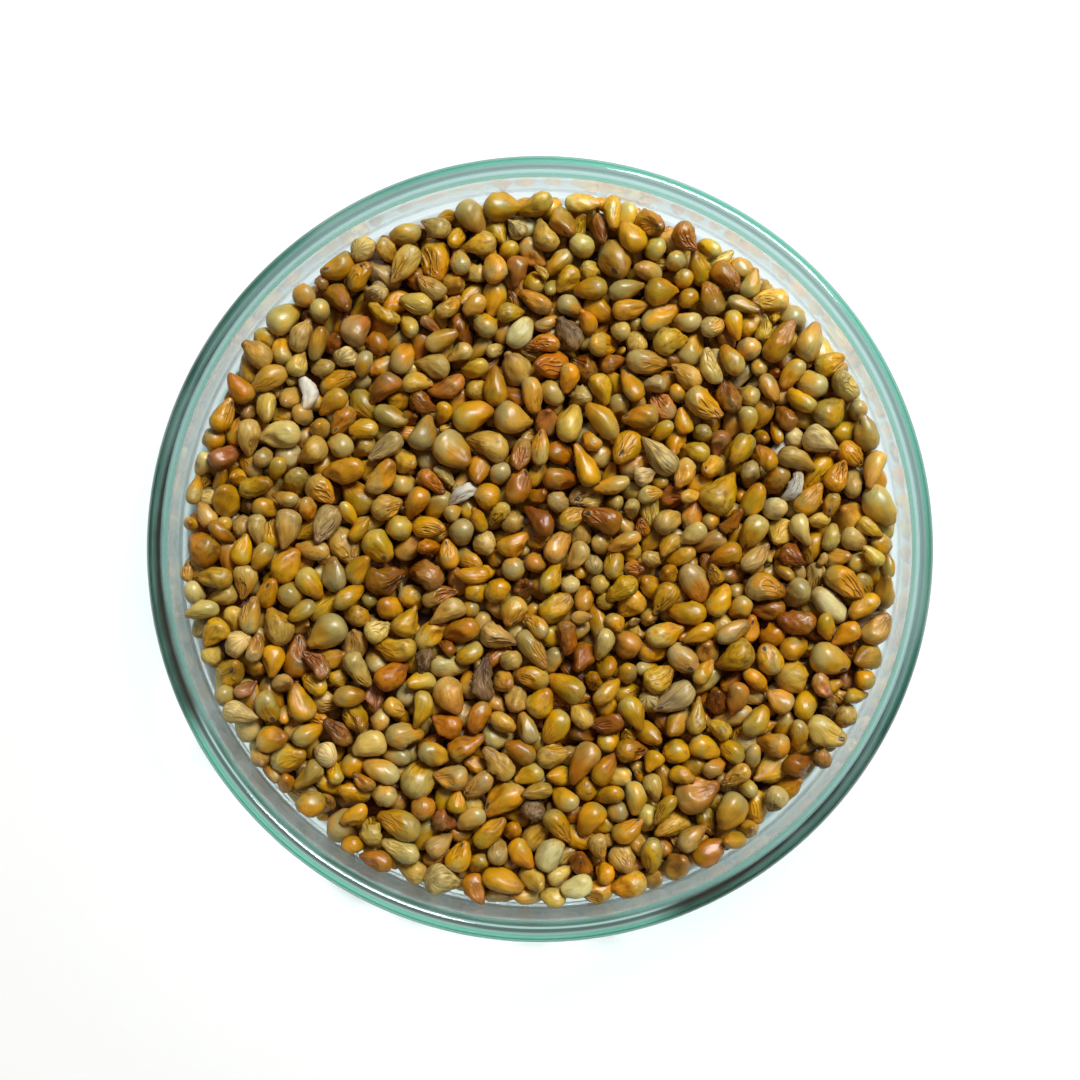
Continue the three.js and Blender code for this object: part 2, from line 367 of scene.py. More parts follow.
# grains that stand out: place, where the tip points in degrees, length, width and kind
landmarks = (
    ((-9.3, 6.4), 215, 4.1, 1.9, "chalkChip"),
    ((30.2, 7.3), 52, 4.2, 2.2, "chalkChip"),
    ((1.1, -36.2), 60, 4.2, 3.4, "creamHalf"),
    ((14.0, 11.2), 134, 5.9, 2.8, "ridgedHusk"),
    ((-6.8, -15.4), 96, 5.2, 3.0, "darkChaff"),
    ((16.0, -18.0), 214, 5.6, 3.1, "greyHusk"),
    ((-35.4, -19.6), -16, 4.4, 2.6, "ridgedHusk"),
    ((20.5, 26.3), 20, 3.0, 2.7, "greyPlump"),
    ((-10.4, 11.5), -48, 5.1, 4.1, "greyPlump"),
    ((7.4, 3.8), 152, 4.9, 3.5, "brownShrivel"),
    ((2.0, -7.0), 30, 4.4, 3.5, "wrinkled"),
    ((36.2, -3.9), -34, 5.5, 3.3, "goldenGerm"),
    ((19.3, 16.9), -42, 5.1, 3.5, "goldenGerm"),
    ((28.6, 24.8), 56, 6.0, 3.2, "amber"),
    ((17.3, 37.2), -84, 4.0, 2.8, "brownShrivel"),
    ((4.4, -40.0), 205, 3.9, 2.8, "creamHalf"),
)


# how far from the middle the heap's edge lies in each direction
def edgeReach(angle):
    gap = np.full_like(angle, heap["edgeGap"])
    for waves, high, turn in heap["edgeWaves"]:
        gap += high * np.sin(waves * angle + turn)
    return heapReach - np.maximum(gap, 0)


# even layers on a sunflower spiral, one above another, a little disturbed
def startPlaces(draw, count):
    perLayer = math.ceil(count / heap["layers"])
    index = np.arange(count) % perLayer
    layer = np.arange(count) // perLayer
    angle = index * math.pi * (3 - math.sqrt(5)) + layer * 1.7
    reach = (heapReach - 1.5) * np.sqrt((index + 0.5) / perLayer)
    height = heapFloor + 1.3 + layer * 2.5 + draw.uniform(0, 1.2, count)
    place = np.stack([reach * np.cos(angle), reach * np.sin(angle), height], axis=1)
    place[:, :2] += draw.normal(0, 0.35, (count, 2))
    for grain, mark in enumerate(landmarks):
        place[grain] = (*mark[0], height.max() + 1)
    return place


# pairs of grains that may touch, found by sweeping along X
def nearPairs(place, reach, margin):
    order = np.argsort(place[:, 0], kind="stable")
    at, far = place[order], reach[order]
    count = len(order)
    end = np.searchsorted(at[:, 0], at[:, 0] + 2 * far.max() + margin)
    partners = end - np.arange(count) - 1
    first = np.repeat(np.arange(count), partners)
    begin = np.concatenate([[0], np.cumsum(partners)[:-1]])
    second = np.arange(len(first)) - np.repeat(begin, partners) + first + 1
    limit = far[first] + far[second] + margin
    near = ((at[first] - at[second]) ** 2).sum(axis=1) < limit ** 2
    return order[first[near]], order[second[near]]


# how a push on one of its balls turns a grain, and how readily the grain gives way there
def turnAt(grains, grain, part, normal):
    turn = np.cross(grains["along"][grain, part][:, None] * grains["axis"][grain], normal)
    return turn, 1 + (turn ** 2).sum(axis=1) / grains["inertia"][grain]


# adds up the shifts and turns that pushes of a given depth give their grains
def addPushes(sums, grains, grain, part, normal, depth):
    turn, _ = turnAt(grains, grain, part, normal)
    count = len(sums["touches"])
    for k in range(3):
        sums["moves"][:, k] += np.bincount(grain, depth * normal[:, k], count)
        sums["turns"][:, k] += np.bincount(
            grain, depth * turn[:, k] / grains["inertia"][grain], count)
    sums["touches"] += np.bincount(grain, minlength=count)


# pushes apart the balls of grains that touch, and returns how deep they were in each other
def pushApart(sums, grains, balls, one, two):
    ballOne, ballTwo = (grid.ravel() for grid in np.meshgrid(range(3), range(3)))
    gap = balls[one][:, ballOne] - balls[two][:, ballTwo]
    distance = np.sqrt((gap ** 2).sum(axis=2)) + 1e-9
    depth = grains["ball"][one][:, ballOne] + grains["ball"][two][:, ballTwo] - distance
    row, column = np.nonzero(depth > 0)
    normal = gap[row, column] / distance[row, column][:, None]
    first, second = one[row], two[row]
    partFirst, partSecond = ballOne[column], ballTwo[column]
    _, giveFirst = turnAt(grains, first, partFirst, normal)
    _, giveSecond = turnAt(grains, second, partSecond, normal)
    shift = depth[row, column] / (giveFirst + giveSecond)
    addPushes(sums, grains, first, partFirst, normal, shift)
    addPushes(sums, grains, second, partSecond, -normal, shift)
    return float(depth.max())


# keeps the balls above the floor, under the lid and inside the edge
def pushInside(sums, grains, balls, lid):
    ball = grains["ball"]
    flat = np.hypot(balls[..., 0], balls[..., 1])
    inward = np.zeros_like(balls)
    inward[..., :2] = -balls[..., :2] / np.maximum(flat, 1e-9)[..., None]
    up = np.broadcast_to([0.0, 0.0, 1.0], balls.shape)
    reach = edgeReach(np.arctan2(balls[..., 1], balls[..., 0]))
    limits = (
        (heapFloor + ball - balls[..., 2], up),
        (0.35 * (balls[..., 2] + ball - lid), -up),
        (flat + ball - reach, inward),
    )
    for over, facing in limits:
        grain, part = np.nonzero(over > 0)
        normal = facing[grain, part]
        _, give = turnAt(grains, grain, part, normal)
        addPushes(sums, grains, grain, part, normal, over[grain, part] / give)


# lets the grains sink into the dish, each as three balls in a row along its length
def settleGrains(draw, length, width):
    count = len(length)
    marked = len(landmarks)
    heading = np.radians([mark[1] for mark in landmarks])
    markAxis = np.stack([np.cos(heading), np.sin(heading), np.zeros(marked)], axis=1)
    markPlace = np.array([mark[0] for mark in landmarks])
    axis = draw.normal(size=(count, 3)) * (1, 1, 0.35)
    blunt, tip = heap["endBalls"]
    grains = {
        "along": np.stack([blunt * width - length / 2, heap["middleBall"] * length,
                           length / 2 - tip * width], axis=1),
        "ball": np.outer(width, heap["balls"]),
        "inertia": (length ** 2 + width ** 2) / 20,
        "axis": axis / np.linalg.norm(axis, axis=1, keepdims=True),
        "place": startPlaces(draw, count),
    }
    place, axis = grains["place"], grains["axis"]
    sinks = np.ones(count)
    sinks[:marked] = 0.4  # these stay on top
    for step in range(heap["steps"]):
        share = step / heap["steps"]
        place[:, 2] -= sinks * (heap["fall"] * max(0.0, 1 - 2 * share) ** 1.2 + heap["creep"])
        if share < heap["jostleUntil"]:
            shake = heap["jostle"] * (1 - share / heap["jostleUntil"])
            place[:, :2] += draw.normal(0, shake, (count, 2))
        if step % heap["searchEvery"] == 0:
            one, two = nearPairs(place, length / 2, 0.9 if share < 0.5 else 0.45)
        lid = heap["level"] + 8 * max(0.0, 0.45 - share)
        if share >= heap["levelUntil"]:
            lid = math.inf
        for _ in range(2):
            balls = place[:, None] + grains["along"][:, :, None] * axis[:, None]
            sums = {"moves": np.zeros((count, 3)), "turns": np.zeros((count, 3)),
                    "touches": np.zeros(count)}
            deepest = pushApart(sums, grains, balls, one, two)
            pushInside(sums, grains, balls, lid)
            calm = 1 / np.maximum(1, 0.22 * sums["touches"])[:, None]
            place += sums["moves"] * calm
            axis += np.cross(sums["turns"] * calm, axis)
            place[:marked, :2] += 0.3 * (markPlace - place[:marked, :2])
            axis[:marked] += 0.25 * (markAxis - axis[:marked])
            axis /= np.linalg.norm(axis, axis=1, keepdims=True)
    print("heap:", count, "grains settled, deepest touch", round(deepest, 3), "mm")
    return grains


# how many cells of a picture each grain shows in, nearest ball in front
def cellsShown(across, up, towards, ball, cell, wide, high):
    nearest = np.full((high, wide), -1e9)
    owner = np.full((high, wide), -1)
    for grain in range(len(across)):
        for part in range(across.shape[1]):
            x, y, radius = across[grain, part], up[grain, part], ball[grain, part]
            x0, x1 = max(0, int((x - radius) / cell)), min(wide, int((x + radius) / cell) + 2)
            y0, y1 = max(0, int((y - radius) / cell)), min(high, int((y + radius) / cell) + 2)
            dx = (np.arange(x0, x1) + 0.5) * cell - x
            dy = (np.arange(y0, y1) + 0.5) * cell - y
            rise = radius ** 2 - dx[None, :] ** 2 - dy[:, None] ** 2
            front = np.where(rise > 0, towards[grain, part] + np.sqrt(np.maximum(rise, 0)), -1e9)
            nearer = front > nearest[y0:y1, x0:x1]
            nearest[y0:y1, x0:x1][nearer] = front[nearer]
            owner[y0:y1, x0:x1][nearer] = grain
    return np.bincount(owner[owner >= 0], minlength=len(across))


# cells that each grain shows from above, from below and through the wall
def grainsSeen(grains):
    cell = heap["seenCell"]
    ball = grains["ball"]
    balls = grains["place"][:, None] + grains["along"][:, :, None] * grains["axis"][:, None]
    x, y, z = balls[..., 0], balls[..., 1], balls[..., 2]
    span = math.ceil(2 * (heapReach + 1) / cell)
    above = cellsShown(x + heapReach + 1, y + heapReach + 1, z, ball, cell, span, span)
    below = cellsShown(x + heapReach + 1, y + heapReach + 1, -z, ball, cell, span, span)
    turn = (np.arctan2(y, x) + math.pi) * heapReach
    wide = math.ceil(2 * math.pi * heapReach / cell)
    tall = math.ceil((heapHigh.z / mm + 3) / cell)
    side = cellsShown(turn, z, np.hypot(x, y), ball, cell, wide, tall)
    return above, below + side


# what sorts of grain there are: their share, their colours, how strong the skin's traits are,
# and their form, where a pair is a range that each grain draws from

kinds = {
    "greyPlump": dict(
        share=0.2, body=(180, 154, 78), germ=(196, 142, 36), tip=(160, 112, 44), stain_and_shade=(130, 88, 36),
        warm=0.7, pearl=0.9, stains=0.4, streaks=0.2, wrinkles=0.5, gloss=0.32, shine=0.67,
        germDent=0.16, dent=0.1, pleats=0.006, shrivel=0.022, taper=(0.05, 0.36), point=(0.62, 0.9),
        neck=(0, 0.22), bend=0.25,
    ),
    "khakiPlump": dict(
        share=0.24, body=(179, 145, 56), germ=(202, 143, 26), tip=(162, 106, 28), stain_and_shade=(124, 78, 24),
        warm=0.8, pearl=0.7, stains=0.45, streaks=0.24, wrinkles=0.7, gloss=0.33, shine=0.65,
        germDent=0.24, dent=0.14, pleats=0.014, shrivel=0.028, taper=(0.1, 0.42), point=(0.62, 0.95),
        neck=(0, 0.25), bend=0.35,
    ),
    "goldenGerm": dict(
        share=0.15, body=(184, 142, 50), germ=(206, 140, 20), tip=(170, 106, 18), stain_and_shade=(134, 80, 18),
        warm=0.85, pearl=0.5, stains=0.4, streaks=0.22, wrinkles=0.95, gloss=0.33, shine=0.65,
        germDent=0.32, dent=0.12, pleats=0.014, shrivel=0.03, taper=(0.12, 0.45), point=(0.64, 0.95),
        neck=(0, 0.25), bend=0.35,
    ),
    "amber": dict(
        share=0.11, body=(164, 116, 34), germ=(180, 110, 16), tip=(132, 76, 18), stain_and_shade=(106, 60, 18),
        warm=0.75, pearl=0.3, stains=0.55, streaks=0.28, wrinkles=1.0, gloss=0.33, shine=0.6,
        germDent=0.32, dent=0.18, pleats=0.024, shrivel=0.04, taper=(0.14, 0.48), point=(0.66, 1.0),
        neck=(0, 0.3), bend=0.4,
    ),
    "tanHusk": dict(
        share=0.13, body=(188, 152, 70), germ=(190, 142, 48), tip=(154, 108, 46), stain_and_shade=(126, 84, 38),
        warm=0.45, pearl=0.25, stains=0.55, streaks=0.6, wrinkles=0.8, gloss=0.38, shine=0.56,
        germDent=0.24, dent=0.16, pleats=0.04, shrivel=0.04, taper=(0.22, 0.55), point=(0.75, 1.1),
        neck=(0, 0.3), bend=0.5,
    ),
    "brownShrivel": dict(
        share=0.06, body=(142, 88, 24), germ=(146, 82, 18), tip=(106, 62, 20), stain_and_shade=(78, 42, 14),
        warm=0.6, pearl=0.2, stains=0.65, streaks=0.4, wrinkles=1.2, gloss=0.34, shine=0.55,
        germDent=0.4, dent=0.26, pleats=0.05, shrivel=0.075, taper=(0.14, 0.48), point=(0.7, 1.0),
        neck=(0, 0.3), bend=0.45,
    ),
    "paleGrain": dict(
        share=0.04, body=(204, 178, 96), germ=(202, 164, 78), tip=(172, 138, 66), stain_and_shade=(146, 112, 58),
        warm=0.4, pearl=0.5, stains=0.4, streaks=0.35, wrinkles=0.7, gloss=0.34, shine=0.62,
        germDent=0.22, dent=0.14, pleats=0.02, shrivel=0.03, taper=(0.1, 0.42), point=(0.64, 0.9),
        neck=(0, 0.22), bend=0.35,
    ),
    "wrinkled": dict(
        share=0.04, body=(188, 152, 68), germ=(190, 142, 46), tip=(144, 104, 42), stain_and_shade=(108, 74, 30),
        warm=0.6, pearl=0.4, stains=0.5, streaks=0.35, wrinkles=1.6, gloss=0.38, shine=0.55,
        germDent=0.44, dent=0.2, pleats=0.04, shrivel=0.08, taper=(0.08, 0.4), point=(0.62, 0.9),
        neck=(0, 0.25), bend=0.35,
    ),
    "crumb": dict(
        share=0.04, body=(174, 142, 66), germ=(182, 134, 44), tip=(142, 102, 42), stain_and_shade=(108, 76, 34),
        warm=0.5, pearl=0.3, stains=0.5, streaks=0.6, wrinkles=1.2, gloss=0.42, shine=0.55,
        germDent=0.3, dent=0.36, pleats=0.08, shrivel=0.1, taper=(0, 0.4), point=(0.6, 1.0),
        neck=(0, 0.5), bend=0.6,
    ),
    "ridgedHusk": dict(
        share=0.012, body=(202, 174, 110), germ=(194, 160, 92), tip=(168, 130, 72), stain_and_shade=(134, 94, 54),
        warm=0.25, pearl=0, stains=0.4, streaks=1.5, wrinkles=0.8, gloss=0.5, shine=0.52,
        germDent=0.2, dent=0.2, pleats=0.09, shrivel=0.03, taper=(0.5, 0.7), point=(0.95, 1.2),
        neck=(0, 0.15), bend=0.4,
    ),
    "greyHusk": dict(
        share=0.012, body=(164, 138, 84), germ=(156, 132, 90), tip=(126, 98, 66), stain_and_shade=(108, 78, 58),
        warm=0.35, pearl=0.3, stains=0.5, streaks=1.0, wrinkles=0.6, gloss=0.36, shine=0.55,
        germDent=0.2, dent=0.3, pleats=0.05, shrivel=0.04, taper=(0.2, 0.45), point=(0.7, 0.9),
        neck=(0, 0.25), bend=0.4,
    ),
    "darkChaff": dict(
        share=0.006, body=(132, 100, 58), germ=(116, 86, 50), tip=(88, 60, 36), stain_and_shade=(62, 42, 26),
        warm=0.5, pearl=0, stains=0.7, streaks=1.2, wrinkles=1.4, gloss=0.5, shine=0.51,
        germDent=0.4, dent=0.4, pleats=0.12, shrivel=0.12, taper=(0, 0.3), point=(0.6, 0.8),
        neck=(0.3, 0.5), bend=0.5,
    ),
    "chalkChip": dict(
        share=0.003, body=(200, 192, 174), germ=(206, 197, 178), tip=(186, 164, 122), stain_and_shade=(176, 154, 120),
        warm=0.6, pearl=0, stains=0.5, streaks=0.2, wrinkles=0.7, gloss=0.6, shine=0.52,
        germDent=0.2, dent=0.4, pleats=0.05, shrivel=0.08, taper=(-0.1, 0.2), point=(0.5, 0.7),
        neck=(0, 0.2), bend=1.5,
    ),
    "creamHalf": dict(
        share=0.004, body=(206, 190, 128), germ=(218, 202, 144), tip=(186, 150, 74), stain_and_shade=(170, 140, 76),
        warm=0.8, pearl=0.3, stains=0.3, streaks=0.3, wrinkles=0.25, gloss=0.42, shine=0.62,
        germDent=0.1, dent=0.1, pleats=0.01, shrivel=0.015, taper=(0, 0.2), point=(0.6, 0.8),
        neck=(0, 0.1), bend=0.2,
    ),
}
kindNames = list(kinds)

meshGrades = {
    "near": {"around": 24, "rings": 16},
    "part": {"around": 16, "rings": 12},
    "plain": {"around": 10, "rings": 8},
}


# corners of one round grain: -1 to 1 along it, and the angle about its length
def grainDirections(grade):
    around, rings = grade["around"], grade["rings"]
    polar = np.linspace(0, math.pi, rings + 1)[1:-1]
    along = np.repeat(-np.cos(polar), around)
    angle = np.tile(np.arange(around) * 2 * math.pi / around, rings - 1)
    along = np.concatenate([along, [-1, 1]])
    angle = np.concatenate([angle, [0, 0]])
    here = np.arange(around)
    there = (here + 1) % around
    blunt, tip = len(along) - 2, len(along) - 1
    faces = []
    for row in range(rings - 2):
        low, high = row * around, (row + 1) * around
        faces.append(np.stack([low + here, high + here, high + there], axis=1))
        faces.append(np.stack([low + here, high + there, low + there], axis=1))
    faces.append(np.stack([np.full(around, blunt), here, there], axis=1))
    last = (rings - 2) * around
    faces.append(np.stack([np.full(around, tip), last + there, last + here], axis=1))
    return along, angle, np.concatenate(faces)


# what the forms of all grains have in common: a pair is a range that each grain draws from
grainForm = {
    "blunt": (0.8, 1.0),             # how full the blunt end is
    "neckAt": 0.74,                  # from the middle, in half lengths, as are the germ's sizes
    "neckLength": 0.16,
    "germFall": (0.0, 0.28),         # how far the germ side falls to the tip
    "germMiddle": (0.18, 0.42),
    "germReach": (0.42, 0.62),
    "germBreadth": (0.5, 0.78),
    "germDepth": (0.1, 1.5),
    "germRim": 0.26,                 # rim, hollow and ridge as shares of the germ's depth
    "germHollow": 0.9,
    "germRidge": 0.45,
    "flats": 3,
    "flatSize": (0.3, 0.6),
    "flatDepth": (0.0, 1.5),
    "pleats": (2.6, 5.4),
    "pleatTwist": (-0.8, 0.8),
    "pleatDepth": (0.4, 1.6),
    "shrivelTurns": (1.6, 2.6, 4.3, 7.0, 10.5),
    "shrivelDepth": 1.9,
    "bend": (-1, 1),
    "lift": (-0.8, 0.8),
}


# corners of many grains of a kind in their own axes, in mm: blunt end, germ, tip and all
def grainShapes(draw, kind, size, along, angle):
    form, count = grainForm, len(size["length"])

    def each(low, high):
        return draw.uniform(low, high, (count, 1))

    girth = np.sqrt(np.clip(1 - along ** 2, 0, 1))[None, :]
    across, up = np.cos(angle)[None, :], np.sin(angle)[None, :]
    along = along[None, :]
    facing = ease(0.0, 0.5, up)
    # blunt end and tip, the taper between them, the neck, and the germ side falling to the tip
    radius = np.where(along < 0, girth ** each(*form["blunt"]), girth ** each(*kind["point"]))
    radius = radius * (1 - each(*kind["taper"]) * along)
    neck = np.exp(-((along - form["neckAt"]) / form["neckLength"]) ** 2)
    radius = radius * (1 - each(*kind["neck"]) * neck)
    radius = radius * (1 - each(*form["germFall"]) * facing * ease(0.1, 1.0, along))
    # the germ's hollow, on the grain's upper side towards the tip
    middle, reach, breadth = (each(*form[key]) for key in ("germMiddle", "germReach", "germBreadth"))
    oval = np.hypot((along - middle) / reach, girth * across / breadth)
    germ = kind["germDent"] * each(*form["germDepth"])
    rim = np.exp(-((oval - 1.08) / 0.18) ** 2)
    hollow = 1 - ease(0.3, 1.0, oval)
    ridge = np.exp(-(girth * across / 0.16) ** 2) * (oval < 0.9) * each(-0.5, 0.7)
    radius = radius * (1 + facing * germ * (
        form["germRim"] * rim - form["germHollow"] * hollow + form["germRidge"] * ridge))
    # flats and dents where it dried or pressed on others
    for _ in range(form["flats"]):
        towards = draw.normal(size=(count, 3))
        towards /= np.linalg.norm(towards, axis=1, keepdims=True)
        side = (towards[:, :1] * along + towards[:, 1:2] * girth * across
                + towards[:, 2:] * girth * up)
        dent = kind["dent"] * each(*form["flatDepth"])
        radius = radius * (1 - dent * ease(each(*form["flatSize"]), 1.0, side))
    # pleats along a husk, and the shrivelling of the skin
    pleats = 1 - 2 * np.abs(np.sin(
        np.round(each(*form["pleats"])) / 2 * angle[None, :] + each(0, 6.3)
        + each(*form["pleatTwist"]) * along))
    radius = radius * (1 + kind["pleats"] * each(*form["pleatDepth"]) * pleats * girth)
    for frequency in form["shrivelTurns"]:
        turn = draw.normal(size=(count, 3)) * frequency
        wave = np.sin(turn[:, :1] * along + turn[:, 1:2] * girth * across
                      + turn[:, 2:] * girth * up + each(0, 6.3))
        fold = 1 - 2 * np.abs(wave)
        relief = kind["shrivel"] * form["shrivelDepth"] / math.sqrt(frequency)
        radius = radius * (1 + relief * fold * girth)
    length, width, depth = (size[key][:, None] / 2 for key in ("length", "width", "depth"))
    curve = 0.5 * ease(-0.2, 1.2, along) + 0.5 * along ** 2
    bend = kind["bend"] * each(*form["bend"]) * curve * width
    lift = kind["bend"] * each(*form["lift"]) * curve * depth
    points = np.stack([
        length * along + 0 * radius,
        width * radius * across + bend,
        depth * radius * up + lift,
    ], axis=-1)
    own = np.broadcast_to(
        np.stack([along + 0 * across, girth * across, girth * up], axis=-1)[0], points.shape)
    return points, own


# turns grains from their own axes to where they lie, still in mm
def turnIntoPlace(points, place, axis, roll):
    helper = np.where(np.abs(axis[:, 2:]) < 0.9, [[0.0, 0.0, 1.0]], [[1.0, 0.0, 0.0]])
    sideways = np.cross(helper, axis)
    sideways /= np.linalg.norm(sideways, axis=1, keepdims=True)
    upward = np.cross(axis, sideways)
    cosine, sine = np.cos(roll)[:, None], np.sin(roll)[:, None]
    second = cosine * sideways + sine * upward
    third = cosine * upward - sine * sideways
    basis = np.stack([axis, second, third], axis=1)
    return np.einsum("nvk,nkc->nvc", points, basis) + place[:, None]


# shifts a grain in from the wall and up from the floor and its rounded corner
def keepInDish(points):
    reach = np.hypot(points[..., 0], points[..., 1])
    corner = dish["innerCorner"] / mm
    drop = np.clip(heapFloor + corner - points[..., 2], 0, corner)
    limit = heapReach - corner + np.sqrt(corner ** 2 - drop ** 2)
    over = reach - limit
    worst = over.argmax(axis=1)
    row = np.arange(len(points))
    excess = np.maximum(over[row, worst], 0)
    out = points[row, worst, :2] / np.maximum(reach[row, worst], 1e-9)[:, None]
    points[..., :2] -= (out * excess[:, None])[:, None]
    points[..., 2] += np.maximum(heapFloor - points[..., 2].min(axis=1), 0)[:, None]
    return points


# the grains' skins

skinLook = {
    "blotchScale": 0.9,                # of the noises, in a grain's half lengths
    "patchScale": 3.0,
    "streakScale": 6.0,
    "poreScale": 13.0,
    "foldScale": 2.1,
    "foldDepth": 0.2 * mm,
    "germScale": (1.8, 1.5),           # how short and narrow the germ's oval is
    "germAt": 0.3,
    "pearlColour": (184, 165, 104),
    "dotPlace": (0.72, 0.05, 0.68),    # where some grains have a dark dot with a pale ring
    "dotAbove": 0.78,                  # a grain whose lot is above this has one
    "dotColour": (56, 40, 24),
    "ringColour": (196, 168, 106),
    # how much painted shade darkens the germ's outline and cleft, and the creases
    "outlineShade": 0.22,
    "creaseShade": 0.2,
    "tone": (0.5, 0.64),               # spread from grain to grain, and least
    "hue": (0.012, 0.491),
    "fullness": (0.16, 0.97),
}
# Stain_and_shade colours real stains and also the painted shade in the germ's outline, cleft and creases
skinColours = ("Body", "Germ", "Tip", "Stain_and_shade")
skinNumbers = ("Warm", "Pearl", "Stains", "Streaks", "Wrinkles", "Gloss")


# node group: colour, roughness and relief of a seed skin, from the grain's own axes
def grainSkin():
    inputs = [(name, "NodeSocketColor", (0.5, 0.4, 0.2, 1)) for name in skinColours]
    inputs += [(name, "NodeSocketFloat", 0.3) for name in skinNumbers]
    tree, given, result = newGroup("grainSkin", inputs, [
        ("Color", "NodeSocketColor"), ("Roughness", "NodeSocketFloat"), ("Height", "NodeSocketFloat")])
    sockets = given.outputs
    place, seed, tone = (
        addNode(tree, "ShaderNodeAttribute", attribute_name=name).outputs[output]
        for name, output in (("grainPlace", "Vector"), ("grainSeed", "Fac"), ("grainTone", "Fac")))
    split = addNode(tree, "ShaderNodeSeparateXYZ", {0: place}).outputs

    # a number from 0 to 1 that differs from grain to grain
    def lot(factor):
        return maths(tree, "FRACT", times(tree, seed, factor))

    def centred(value):
        return maths(tree, "SUBTRACT", value, 0.5)

    # 1 where a value is zero, fading out on both sides of it
    def lineAt(value, reach, full=0.0):
        return mapShare(tree, maths(tree, "ABSOLUTE", value), reach, full)

    # the noises, each grain in its own place in them
    shift = addNode(tree, "ShaderNodeCombineXYZ", {
        0: times(tree, seed, 83.0), 1: times(tree, seed, 47.0), 2: times(tree, seed, 131.0),
    }).outputs[0]
    own = vectorMaths(tree, "ADD", place, shift)
    around = vectorMaths(tree, "NORMALIZE", vectorMaths(tree, "MULTIPLY", place, (0, 1, 1)))
    lengthwise = addNode(tree, "ShaderNodeCombineXYZ", {0: times(tree, split[0], 0.35)}).outputs[0]
    meridian = vectorMaths(tree, "ADD", vectorMaths(tree, "ADD", around, lengthwise), shift)
    stretched = vectorMaths(tree, "MULTIPLY", own, (0.55, 1.25, 1.25))
    blotches = noiseAt(tree, own, skinLook["blotchScale"], 0.0, 0.5)
    patches = noiseAt(tree, own, skinLook["patchScale"], 1.0, 0.6)
    streaks = noiseAt(tree, meridian, skinLook["streakScale"], 0.0, 0.5)
    pores = noiseAt(tree, own, skinLook["poreScale"], 0.0, 0.5)
    folds = centred(noiseAt(tree, stretched, skinLook["foldScale"], 0.0, 0.5))
    folds = maths(tree, "ABSOLUTE", folds)
    creases = mapShare(tree, folds, 0.07, 0.0)
    folds = mapShare(tree, folds, 0.0, 0.16)
    wrinkled = times(tree, sockets["Wrinkles"], mapShare(tree, lot(23.3), 0.35, 0.95, 0.1, 1.0))

    # the germ's oval on the upper side, with an uneven edge and a cleft
    shortness, narrowness = skinLook["germScale"]
    alongGerm = timesPlus(tree, split[0], shortness, -shortness * skinLook["germAt"])
    acrossGerm = times(tree, split[1], narrowness)
    oval = maths(tree, "SQRT", maths(
        tree, "ADD", times(tree, alongGerm, alongGerm), times(tree, acrossGerm, acrossGerm)))
    upper = mapShare(tree, split[2], -0.05, 0.4)
    nearGerm = times(tree, mapShare(tree, oval, 1.25, 0.7), upper)
    oval = timesPlus(tree, patches, 0.6, maths(tree, "SUBTRACT", oval, 0.3))
    germ = times(tree, mapShare(tree, oval, 1.2, 0.7), upper)
    outline = times(tree, lineAt(maths(tree, "SUBTRACT", oval, 1.0), 0.15), upper)
    outline = times(tree, outline, mapShare(tree, lot(11.9), 0.3, 0.8))
    cleft = timesPlus(tree, streaks, 0.5, maths(tree, "SUBTRACT", split[1], 0.25))
    cleft = times(tree, lineAt(cleft, 0.12, 0.02), germ)

    # warm skin on the germ, round it and towards the tip, and pearly skin at the blunt end
    spill = timesPlus(tree, centred(lot(7.7)), 0.4, blotches)
    towardsTip = timesPlus(tree, patches, 0.4, timesPlus(tree, lot(5.3), 0.9, split[0]))
    warmth = maths(tree, "MAXIMUM", mapShare(tree, spill, 0.4, 0.68),
                   mapShare(tree, towardsTip, 0.1, 1.4))
    warmth = maths(tree, "MAXIMUM", times(tree, germ, 0.9), times(tree, warmth, sockets["Warm"]))
    pearly = timesPlus(tree, lot(37.1), 0.9, timesPlus(tree, blotches, -0.8, split[0]))
    pearly = times(tree, mapShare(tree, pearly, 0.5, -0.9), sockets["Pearl"])
    body = mixColour(tree, pearly, sockets["Body"], srgb(*skinLook["pearlColour"]))
    colour = mixColour(tree, warmth, body, sockets["Germ"])
    tipped = timesPlus(tree, lot(3.1), 0.4, timesPlus(tree, patches, 0.6, split[0]))
    tipped = times(tree, mapShare(tree, tipped, 0.8, 1.5), 0.9)
    colour = mixColour(tree, tipped, colour, sockets["Tip"])

    # stains, and painted shade: dark lines along the germ's outline and cleft and in the creases of its
    # folds
    stained = times(tree, mapShare(tree, patches, 0.5, 0.7), times(
        tree, sockets["Stains"], mapShare(tree, lot(13.7), 0.2, 1.0, 0.25, 1.2)))
    creasedShade = times(tree, times(tree, creases, wrinkled), timesPlus(tree, germ, 0.9, 0.1))
    edgeAndCreaseShade = times(tree, maths(tree, "MAXIMUM", outline, cleft),
                  times(tree, wrinkled, skinLook["outlineShade"]))
    edgeAndCreaseShade = maths(tree, "MAXIMUM", edgeAndCreaseShade, times(tree, creasedShade, skinLook["creaseShade"]))
    colour = mixColour(tree, maths(tree, "MAXIMUM", stained, edgeAndCreaseShade, clamp=True),
                       colour, sockets["Stain_and_shade"])

    # the dark dot with its pale ring beside some tips
    dotAt = vectorMaths(tree, "DISTANCE", place, skinLook["dotPlace"], "Value")
    dotAt = timesPlus(tree, patches, 0.12, dotAt)
    dotted = maths(tree, "GREATER_THAN", lot(17.3), skinLook["dotAbove"])
    ring = times(tree, times(tree, mapShare(tree, dotAt, 0.44, 0.36), dotted), 0.3)
    dot = times(tree, times(tree, mapShare(tree, dotAt, 0.31, 0.24), dotted), 0.85)
    colour = mixColour(tree, ring, colour, srgb(*skinLook["ringColour"]))
    colour = mixColour(tree, dot, colour, srgb(*skinLook["dotColour"]))

